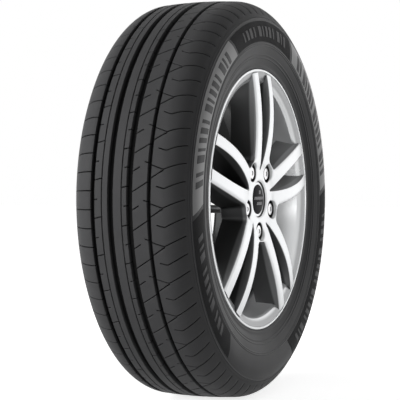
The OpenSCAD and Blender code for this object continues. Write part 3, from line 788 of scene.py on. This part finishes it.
# %% Outline of a pair
PAIRS = 5
PAIR_STEP = 2 * math.pi / PAIRS
FIRST_PAIR = math.radians(88.5)
PAIR_HALF = 41.5 * MM
BOW_R = 840 * MM
BOW_PLACE = 197 * MM
HUB_R = 72.5 * MM
HUB_FILLET = 11 * MM
SLOT_HALF = 20.25 * MM
SLOT_PLACE = 190 * MM
SLOT_TIP = 45 * MM
SLOT_R = ((SLOT_PLACE - SLOT_TIP) ** 2 + SLOT_HALF ** 2) / (2 * SLOT_HALF)
TIP_ROUND = 1.7 * MM
bow_centre = np.array([BOW_PLACE, PAIR_HALF - BOW_R])
slot_centre = np.array([SLOT_PLACE, SLOT_HALF - SLOT_R])


def crossing(centre, radius, other_radius):
    """Point at positive v where a circle crosses a circle about the origin."""
    d = np.hypot(*centre)
    along = (d ** 2 + other_radius ** 2 - radius ** 2) / (2 * d)
    aside = math.sqrt(max(other_radius ** 2 - along ** 2, 0.0))
    unit = centre / d
    square = np.array([-unit[1], unit[0]])
    first, second = unit * along + square * aside, unit * along - square * aside
    return first if first[1] > second[1] else second


def on_circle(centre, start, end, count):
    """Arc about a centre between two points, its radius going evenly from one's to the other's."""
    a, b = start - centre, end - centre
    angle_a, angle_b = math.atan2(a[1], a[0]), math.atan2(b[1], b[0])
    angle_b = angle_a + (angle_b - angle_a + math.pi) % (2 * math.pi) - math.pi
    t = np.linspace(0, 1, count)
    radius = np.hypot(*a) * (1 - t) + np.hypot(*b) * t
    angle = angle_a * (1 - t) + angle_b * t
    return centre + np.stack([radius * np.cos(angle), radius * np.sin(angle)], -1)


fillet_centre = crossing(bow_centre, BOW_R + HUB_FILLET, HUB_R + HUB_FILLET)
COUNTS = {"tip": 5, "slot": 34, "rim": 7, "bow": 34, "fillet": 9, "hub": 8}


def half_pair(slot_in, bow_in, hub_in, slot_end_r, bow_end_r, flare):
    """Outline of half a pair in its own u, v: tip, slot edge, rim, bow, fillet and hub. Each edge is moved
    into the metal by its own amount, and the flare widens the bow towards the rim."""
    radius = SLOT_R + slot_in
    tip_round = TIP_ROUND + max(slot_in, 0) * 0.5
    tip_u = slot_centre[0] - math.sqrt((radius - tip_round) ** 2 - slot_centre[1] ** 2)
    tip_centre = np.array([tip_u, 0.0])
    out = (tip_centre - slot_centre) / np.hypot(*(tip_centre - slot_centre))
    tip = on_circle(tip_centre, tip_centre - [tip_round, 0], tip_centre + out * tip_round, COUNTS["tip"])
    slot = on_circle(slot_centre, slot_centre + out * radius, crossing(slot_centre, radius, slot_end_r), COUNTS["slot"])
    to_bow = (bow_centre - fillet_centre) / np.hypot(*(bow_centre - fillet_centre))
    to_hub = -fillet_centre / np.hypot(*fillet_centre)
    bow_foot = fillet_centre + to_bow * (HUB_FILLET + bow_in)
    hub_foot = fillet_centre + to_hub * (HUB_FILLET + hub_in)
    bow = on_circle(bow_centre, crossing(bow_centre, BOW_R - bow_in, bow_end_r), bow_foot, COUNTS["bow"])
    bow[:, 1] += flare * ease((bow[:, 0] - 115 * MM) / (85 * MM)) ** 2
    rim = on_circle(np.zeros(2), slot[-1], bow[0], COUNTS["rim"])[1:-1]
    fillet = on_circle(fillet_centre, bow_foot, hub_foot, COUNTS["fillet"])[1:-1]
    middle = (HUB_R - hub_in) * np.array([math.cos(PAIR_STEP / 2), math.sin(PAIR_STEP / 2)])
    hub = on_circle(np.zeros(2), hub_foot, middle, COUNTS["hub"])
    return np.concatenate([tip, slot[1:], rim, bow, fillet, hub])


def star(half):
    """Whole outline: the half and its mirror image, turned to the place of every pair."""
    pair = np.concatenate([(half * [1, -1])[:0:-1], half[:-1]])
    angle = (FIRST_PAIR + PAIR_STEP * np.arange(PAIRS))[:, None]
    x = pair[:, 0] * np.cos(angle) - pair[:, 1] * np.sin(angle)
    y = pair[:, 0] * np.sin(angle) + pair[:, 1] * np.cos(angle)
    return np.stack([x, y], -1).reshape(-1, 2)


def part_values(tip, slot, bow, hub):
    """One value for every point of the whole outline, going evenly over the rim and the fillet."""
    values = np.concatenate([
        np.full(COUNTS["tip"], tip), np.full(COUNTS["slot"] - 1, slot),
        np.linspace(slot, bow, COUNTS["rim"])[1:-1], np.full(COUNTS["bow"], bow),
        np.linspace(bow, hub, COUNTS["fillet"])[1:-1], np.full(COUNTS["hub"], hub),
    ])
    return np.tile(np.concatenate([values[:0:-1], values[:-1]]), PAIRS)


print("slot radius %.0f mm, fillet at radius %.1f mm" % (SLOT_R / MM, np.hypot(*fillet_centre) / MM))

# %% [markdown]
# ## Wheel: heights of front and back
# The front is a height field over the star: highest half-way out along the spokes, lower at hub and rim,
# and sunk as a cone round every bolt pocket and round the recess of the centre cap. Two heights are
# joined by a smooth minimum, (a + b - sqrt((a - b)^2 + w^2)) / 2, which rounds the edge between them.

# %% Heights
HUB_FRONT = 87.3 * MM
HIGH_R = 139 * MM
FRONT_END_R = FLANGE_R - 4 * MM
FRONT_END_H = FLANGE_OUT - 0.3 * MM
FRONT_DROP = (FRONT_HIGH - FRONT_END_H) / (FRONT_END_R - HIGH_R) ** 2
POCKET_R = 14.5 * MM
BOLT_CIRCLE_R = 54 * MM
RECESS_R = 30.5 * MM
bolt_turns = FIRST_PAIR + PAIR_STEP * (0.5 + np.arange(PAIRS))
bolt_places = BOLT_CIRCLE_R * np.stack([np.cos(bolt_turns), np.sin(bolt_turns)], -1)


def smooth_min(a, b, width):
    """Lower of two heights, rounded where they meet."""
    return (a + b - np.sqrt((a - b) ** 2 + width ** 2)) / 2


def front_height(p):
    """Height of the front at points p: bowed spokes, flat hub, and the cones of pockets and recess."""
    r = np.hypot(p[:, 0], p[:, 1])
    bowed = FRONT_HIGH - FRONT_DROP * (r - HIGH_R) ** 2
    t = np.clip((r / MM - 50) / 10, 0, 1)
    edge_h = FRONT_HIGH - FRONT_DROP * (60 * MM - HIGH_R) ** 2
    edge_slope = 2 * FRONT_DROP * (HIGH_R - 60 * MM) * 10 * MM
    ramp = HUB_FRONT + (edge_h - HUB_FRONT) * (3 * t ** 2 - 2 * t ** 3) + edge_slope * (t ** 3 - t ** 2)
    height = np.where(t < 1, ramp, bowed)
    near = np.min(np.hypot(*(p[:, None, :] - bolt_places[None]).transpose(2, 0, 1)), axis=1)
    height = smooth_min(height, HUB_FRONT - 1.8 * MM + 1.8 * (near - POCKET_R), 0.6 * MM)
    return smooth_min(height, HUB_FRONT - 2.5 * MM + r - RECESS_R, 0.6 * MM)


def back_height(p):
    """Height of the back: the mounting pad, then a slow rise to where the spokes meet the barrel."""
    return np.interp(np.hypot(p[:, 0], p[:, 1]) / MM, [0, 75, 76.2, 127.5, 190], np.array([45, 45, 48.5, 51.6, 54.75]) * MM)


print("front drops by %.1f mm at the rim" % ((FRONT_HIGH - FRONT_END_H) / MM))

# %% [markdown]
# ## Wheel: one shell of spokes and hub
# Rings of the outline go from the front over a rounded edge and down the drafted walls to the back. The
# front and the back are filled by a triangulation that keeps the outline and the holes as its borders.
# Pockets, bolt holes and the bore are surfaces of revolution that start on those same borders, so that
# all parts can be welded to one closed shell.

# %% Rings of the walls
DRAFT = math.tan(math.radians(8))
SPOKE_DEPTH = 45 * MM
EDGE_IN = {"tip": 1.4, "slot": 1.6, "bow": 6.5, "hub": 2.6}
EDGE_DOWN = {"tip": 1.4, "slot": 1.5, "bow": 4.2, "hub": 2.2}
FLARE = 7.5 * MM
END_HEIGHTS = np.array([54.75, 59.05, 79.95, 85.3, 88.3, 90.9]) * MM
END_RADII = np.array([slope_radius(54.75 * MM) + 2.9 * MM, slope_radius(59.05 * MM) + 2.9 * MM,
                      LIP_R + 2.2 * MM, LIP_R + 9.5 * MM, FLANGE_R - 6.8 * MM, FLANGE_R - 6.4 * MM])


def wall_rings():
    """Rings from the front's border over the edge, a quarter of an ellipse, and down to the back."""
    rings = []
    for turn in np.radians([0, 14, 28, 42, 56, 70, 82]):
        inward = {k: v * MM * (1 - math.sin(turn)) for k, v in EDGE_IN.items()}
        down = {k: v * MM * (1 - math.cos(turn)) for k, v in EDGE_DOWN.items()}
        ends = [np.interp(FRONT_END_H - down[k], END_HEIGHTS, END_RADII) for k in ("slot", "bow")]
        flat = star(half_pair(inward["slot"], inward["bow"], inward["hub"], *ends, 0.0))
        rings.append((flat, front_height(flat) - part_values(down["tip"], down["slot"], down["bow"], down["hub"])))
    low = {k: v * MM * (1 - math.cos(math.radians(82))) for k, v in EDGE_DOWN.items()}
    start = part_values(low["tip"], low["slot"], low["bow"], low["hub"])
    for share in (0.08, 0.2, 0.35, 0.5, 0.65, 0.8, 0.92, 1.0):
        out = -DRAFT * SPOKE_DEPTH * share
        end_h = (FRONT_END_H - low["bow"]) * (1 - share) + END_HEIGHTS[0] * share
        end_r = np.interp(end_h, END_HEIGHTS, END_RADII)
        flat = star(half_pair(out, out, out, end_r, end_r, FLARE * share ** 2))
        rings.append((flat, (front_height(flat) - start) * (1 - share) + back_height(flat) * share))
    return rings


def lifted(flat, height):
    """Points of the drawing plane and their heights as places in the frame."""
    return np.stack([flat[:, 0], -height + 0 * flat[:, 0], flat[:, 1]], -1)


rings = wall_rings()
print("rings:", len(rings), "points in a ring:", len(rings[0][0]))


# %% Filling front and back
def ring_points(centre, radius, count):
    """Points evenly round a circle."""
    t = np.arange(count) * 2 * np.pi / count
    return centre + radius * np.stack([np.cos(t), np.sin(t)], -1)


def inside_outline(p, outline):
    """Whether each point lies inside a closed outline, from how often a ray to its right crosses it."""
    a, b = outline, np.roll(outline, -1, 0)
    low, high = p[:, None, 1] >= a[None, :, 1], p[:, None, 1] >= b[None, :, 1]
    slope = (b[:, 0] - a[:, 0]) / np.where(b[:, 1] == a[:, 1], 1, b[:, 1] - a[:, 1])
    cut = a[None, :, 0] + (p[:, None, 1] - a[None, :, 1]) * slope[None]
    return ((low != high) & (p[:, None, 0] < cut)).sum(1) % 2 == 1


def filled(outline, holes, hole_radii, extra, spacing, height):
    """Triangles that fill the outline but for round holes, through extra points and a grid of points."""
    centres = np.array([centre for centre, _ in holes])
    loops = [outline] + [loop for _, loop in holes]
    reach = np.abs(outline).max()
    rows = np.arange(-reach, reach, spacing * math.sqrt(0.75))
    across = np.arange(-reach, reach, spacing)
    lattice = np.stack(np.meshgrid(across, rows), -1)
    lattice[1::2, :, 0] += spacing / 2
    free = np.concatenate([extra, lattice.reshape(-1, 2)]) if len(extra) else lattice.reshape(-1, 2)
    away = np.hypot(*(free[:, None] - centres[None]).transpose(2, 0, 1)) > np.array(hole_radii) + 0.3 * MM
    free = free[away.all(1)]
    free = free[inside_outline(free, outline)]
    borders = np.concatenate(loops)
    first = len(extra)
    gap = np.array([np.hypot(*(borders - q).T).min() for q in free])
    is_extra = (free[:, None] == extra[None]).all(2).any(1) if first else np.zeros(len(free), bool)
    kept_extra = free[is_extra & (gap > 0.35 * MM)]
    loose = free[~is_extra & (gap > 0.55 * spacing)]
    if len(kept_extra):
        near = np.array([np.hypot(*(kept_extra - q).T).min() for q in loose])
        loose = loose[near > 0.5 * spacing]
    points = np.concatenate([borders, kept_extra, loose])
    edges, start = [], 0
    for loop in loops:
        n = len(loop)
        edges += [(start + i, start + (i + 1) % n) for i in range(n)]
        start += n
    result = delaunay_2d_cdt([Vector(p) for p in points / MM], edges, [], 0, 1e-6)
    flat = np.array([tuple(v) for v in result[0]]) * MM
    faces = np.array(result[2])
    middle = flat[faces].mean(1)
    solid = inside_outline(middle, outline)
    open_hole = np.hypot(*(middle[:, None] - centres[None]).transpose(2, 0, 1)) < np.array(hole_radii) * 0.999
    faces = faces[solid & ~open_hole.any(1)]
    flat[:len(borders)] = borders
    return lifted(flat, height(flat)), [faces]


def turned(profile, centre, count, start_height):
    """Surface turned about an upright axis at a centre. Its first ring takes its heights from a function."""
    rings = []
    for k, (radius, h) in enumerate(profile):
        flat = ring_points(centre, radius, count)
        rings.append(lifted(flat, start_height(flat) if k == 0 else np.full(count, h)))
    points = np.stack(rings)
    return points.reshape(-1, 3), [grid_quads(len(profile), count, False, True)]


# %% Spokes and hub
HOLE_R = 8.3 * MM
CENTRE = np.zeros(2)
pocket_profile = np.array([(14.5, 0), (14.5, 73.6), (14.1, 72.7), (13.4, 72.3), (12.9, 72.3), (8.3, 64.3), (8.3, 46), (8.3, 45)]) * MM
bore_profile = np.array([(30.5, 0), (30.5, 79.3), (27.5, 79.3), (27.5, 72.3), (29.5, 72.3), (29.5, 65.3), (31.7, 65.3), (31.7, 46.2), (32.9, 45)]) * MM
ring_flat = np.stack([flat for flat, _ in rings])
ring_height = np.stack([height for _, height in rings])
walls = np.stack([ring_flat[..., 0], -ring_height, ring_flat[..., 1]], -1)
wall_shell = (walls.reshape(-1, 3), [grid_quads(*walls.shape[:2], False, True)])
mouths = [(c, ring_points(c, POCKET_R, 48)) for c in bolt_places] + [(CENTRE, ring_points(CENTRE, RECESS_R, 96))]
around = [ring_points(c, r * MM, 48) for c in bolt_places for r in (15.1, 15.8, 16.6, 17.5, 18.6, 19.8, 21.2)]
around += [ring_points(CENTRE, r * MM, 96) for r in (31.3, 32.2, 33.2, 34.4)]
front = filled(ring_flat[0], mouths, [POCKET_R] * 5 + [RECESS_R], np.concatenate(around), 3.4 * MM, front_height)
back_holes = [(c, ring_points(c, HOLE_R, 48)) for c in bolt_places] + [(CENTRE, ring_points(CENTRE, 32.9 * MM, 96))]
pad = np.concatenate([ring_points(CENTRE, 75 * MM, 180), ring_points(CENTRE, 76.2 * MM, 180)])
back = filled(ring_flat[-1], back_holes, [HOLE_R] * 5 + [32.9 * MM], pad, 6 * MM, back_height)
pockets = [turned(pocket_profile, c, 48, front_height) for c in bolt_places]
bore = turned(bore_profile, CENTRE, 96, front_height)
mark_sunk(add_piece("wheel_spokes", [front, wall_shell, back, bore] + pockets, silver,
                    replaces=["alloy_wheel"], weld=True, sharp=40), pocket_depth)

# %% [markdown]
# ## Centre cap: a domed disc
# The dark disc in the middle of the cap bulges a little. It is a flat part of a big sphere with a rounded
# rim, turned about the axle. Low slanted bars stand on it in three rows.

# %% Domed disc
DISC_R = 25.2 * MM
DISC_HIGH = 3.4 * MM
disc_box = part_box("centre_cap_disc")
disc_out = -disc_box[0].y


def dome_height(r):
    """Height of the dome: its rise falls with the square, and near the rim with the sixth power, of the radius."""
    share = np.clip(r / DISC_R, 0, 1)
    return disc_out + 0.2 * MM + DISC_HIGH * (1 - 0.75 * share ** 2 - 0.25 * share ** 6)


def cap_dome():
    """Closed turned shape: the dome from its middle to its rim, and its flat back."""
    r = np.linspace(0.02, 1, 26) * DISC_R
    front = np.stack([r, dome_height(r)], -1)
    back = np.array([[DISC_R, disc_out - 0.3 * MM], [0.02 * DISC_R, disc_out - 0.3 * MM]])
    return capped_shell(revolved(np.concatenate([front, back]), 96))


def dome_bar(place, level, length):
    """Slanted bar on the dome: a plate between two lines, both faces at a fixed distance from the dome."""
    across = np.linspace(-1.2, 1.2, 4)[:, None] * MM
    along = np.linspace(-0.5, 0.5, 9)[None, :] * length * MM
    x = place * MM + across + 0.35 * along
    z = level * MM + along + 0 * across
    top, under = dome_height(np.hypot(x, z)) + 0.45 * MM, dome_height(np.hypot(x, z)) - 0.4 * MM
    return slab_shell(*[np.stack([x, -h, z], -1) for h in (top, under)])


add_piece("cap_dome", [cap_dome()], disc_black, replaces=["centre_cap_disc"])
add_piece("cap_bars", [dome_bar(4.4 * k, 2, 5) for k in range(-4, 5)] + [dome_bar(4.4 * k, -7, 5) for k in range(-2, 3)]
          + [dome_bar(0, 12, 6), dome_bar(4.4, 12, 6)],
          mark_grey, replaces=["centre_cap_disc"])

# %% [markdown]
# ## Wheel bolts
# A wheel bolt has a round collar, a six-sided head whose corners are turned off, and a dimple in its top.
# The six sides are a function of the turn: half the width across the flats over the cosine of the turn
# from the nearest flat. Each ring of the head is that hexagon, cut off by a circle where it is turned.

# %% Bolts
FLATS = 19 * MM
BOLT_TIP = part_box("wheel_bolt_1")[1].y
POCKET_FLOOR = HUB_FRONT - 15 * MM


def bolt_shell(centre):
    """Rings of (hexagon's radius limit, height), where a limit below the hexagon's own radius makes it round."""
    t = np.linspace(0, 2 * np.pi, 72, endpoint=False)
    hexagon = FLATS / 2 / np.cos((t + np.pi / 6) % (np.pi / 3) - np.pi / 6)
    rings = [(6.2, -BOLT_TIP / MM), (6.9, -BOLT_TIP / MM + 1), (6.9, 62), (11.6, POCKET_FLOOR / MM), (11.9, POCKET_FLOOR / MM + 1.2),
             (11.3, POCKET_FLOOR / MM + 2.2)]
    points = [np.stack([r * MM * np.cos(t), np.full(72, -h * MM), r * MM * np.sin(t)], -1) for r, h in rings]
    for limit, h in ((11.2, 2.4), (11.2, 9.0), (10.6, 12.2), (9.6, 13.1), (8.0, 13.5), (4.2, 13.6), (3.8, 13.4), (3.4, 12.6)):
        r = np.minimum(hexagon, limit * MM)
        points.append(np.stack([r * np.cos(t), np.full(72, -(POCKET_FLOOR + h * MM)), r * np.sin(t)], -1))
    return capped_shell(np.stack(points) + [centre[0], 0, centre[1]])


def node_at(place):
    """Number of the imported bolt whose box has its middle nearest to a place."""
    def distance(k):
        low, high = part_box("wheel_bolt_%d" % k)
        return abs(low.x + high.x - 2 * place[0]) + abs(low.z + high.z - 2 * place[1])
    return min(range(1, PAIRS + 1), key=distance)


for place in bolt_places:
    near = node_at(place)
    add_piece("bolt_%d" % near, [bolt_shell(place)], bolt_metal, replaces=["wheel_bolt_%d" % near], sharp=25)

# %% [markdown]
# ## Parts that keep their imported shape
# The cap, its ring and the valve are simple turned parts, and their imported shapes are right. They get
# their finishes here.

# %% Finishes of the small parts
kept = {"centre_cap": cap_silver, "centre_cap_ring": spring_steel,
        "valve_body": valve_rubber, "valve_tube": brass, "valve_core": brass, "valve_pin": brass,
        "valve_cap": cap_plastic, "valve_cap_seal": seal_rubber}
for name, material in kept.items():
    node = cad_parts[name]
    for place in node.material_slots:
        place.material = material
    print(name, "finish:", material.name)

# %% [markdown]
# ## Studio
# The wheel stands on a pale floor in a white room. A big weak lamp stands where the flat faces of the
# spokes mirror it, a smaller and stronger one lights the tread, and two faint ones light the top and the
# barrel. What the camera sees of the room, directly or in metal, is white.

# %% Floor and room
FLOOR_Z = -TYRE_R


def seen_directly(nodes, links):
    """1 for a ray from the camera, a mirror image or a look through glass, and 0 for light that spreads."""
    rays = nodes.new("ShaderNodeLightPath")
    first = nodes.new("ShaderNodeMath")
    first.operation = "MAXIMUM"
    links.new(rays.outputs["Is Camera Ray"], first.inputs[0])
    links.new(rays.outputs["Is Transmission Ray"], first.inputs[1])
    second = nodes.new("ShaderNodeMath")
    second.operation = "MAXIMUM"
    links.new(first.outputs[0], second.inputs[0])
    links.new(rays.outputs["Is Glossy Ray"], second.inputs[1])
    return second.outputs[0]


def floor_finish():
    """Pale matt floor with a glow that is fuller far from the wheel, so that only the near shadow shows."""
    material = bpy.data.materials.new("pale_floor")
    material.use_nodes = True
    nodes, links = material.node_tree.nodes, material.node_tree.links
    shader = nodes["Principled BSDF"]
    shader.inputs["Base Color"].default_value = (0.9, 0.9, 0.9, 1)
    shader.inputs["Roughness"].default_value = 0.9
    shader.inputs["Emission Color"].default_value = (1, 1, 1, 1)
    place = nodes.new("ShaderNodeTexCoord")
    far = nodes.new("ShaderNodeVectorMath")
    far.operation = "DISTANCE"
    far.inputs[1].default_value = (0, 0, FLOOR_Z)
    links.new(place.outputs["Object"], far.inputs[0])
    fuller = nodes.new("ShaderNodeMapRange")
    fuller.inputs["From Min"].default_value = 0.3
    fuller.inputs["From Max"].default_value = 1.1
    fuller.inputs["To Min"].default_value = 0.80
    fuller.inputs["To Max"].default_value = 1.0
    links.new(far.outputs["Value"], fuller.inputs["Value"])
    glow = nodes.new("ShaderNodeMath")
    glow.operation = "MULTIPLY"
    links.new(seen_directly(nodes, links), glow.inputs[0])
    links.new(fuller.outputs["Result"], glow.inputs[1])
    links.new(glow.outputs[0], shader.inputs["Emission Strength"])
    return material


floor_mesh = bpy.data.meshes.new("floor")
floor_mesh.from_pydata([(-12, -12, FLOOR_Z), (12, -12, FLOOR_Z), (12, 12, FLOOR_Z), (-12, 12, FLOOR_Z)], [], [(0, 1, 2, 3)])
floor_mesh.materials.append(floor_finish())
floor = bpy.data.objects.new("floor", floor_mesh)
bpy.context.scene.collection.objects.link(floor)


def white_room():
    """World that is white to the camera, and lights the wheel softly."""
    world = bpy.data.worlds.new("white_room")
    bpy.context.scene.world = world
    world.use_nodes = True
    nodes, links = world.node_tree.nodes, world.node_tree.links
    sky = nodes["Background"]
    sky.inputs["Color"].default_value = (1, 1, 1, 1)
    level = nodes.new("ShaderNodeMapRange")
    level.inputs["To Min"].default_value = 0.05
    level.inputs["To Max"].default_value = 1.0
    links.new(seen_directly(nodes, links), level.inputs["Value"])
    links.new(level.outputs["Result"], sky.inputs["Strength"])


def soft_lamp(name, place, width, height, power):
    """Oblong area lamp that looks at the wheel's centre."""
    data = bpy.data.lights.new(name, "AREA")
    data.shape = "RECTANGLE"
    data.size = width
    data.size_y = height
    data.energy = power
    lamp = bpy.data.objects.new(name, data)
    lamp.matrix_world = Matrix.Translation(place) @ Vector(place).to_track_quat("Z", "Y").to_matrix().to_4x4()
    bpy.context.scene.collection.objects.link(lamp)


bpy.context.scene.view_settings.view_transform = "Standard"
white_room()
soft_lamp("face_lamp", (2.25, -1.30, 0.25), 3.0, 3.0, 18)
soft_lamp("tread_lamp", (-2.1, 1.85, 0.9), 1.2, 1.4, 58)
soft_lamp("top_lamp", (0.5, -1.0, 2.6), 1.4, 1.4, 5)
soft_lamp("barrel_lamp", (-2.9, -1.0, 0.2), 1.2, 1.2, 7)
print("floor at z %.1f mm" % (FLOOR_Z / MM))
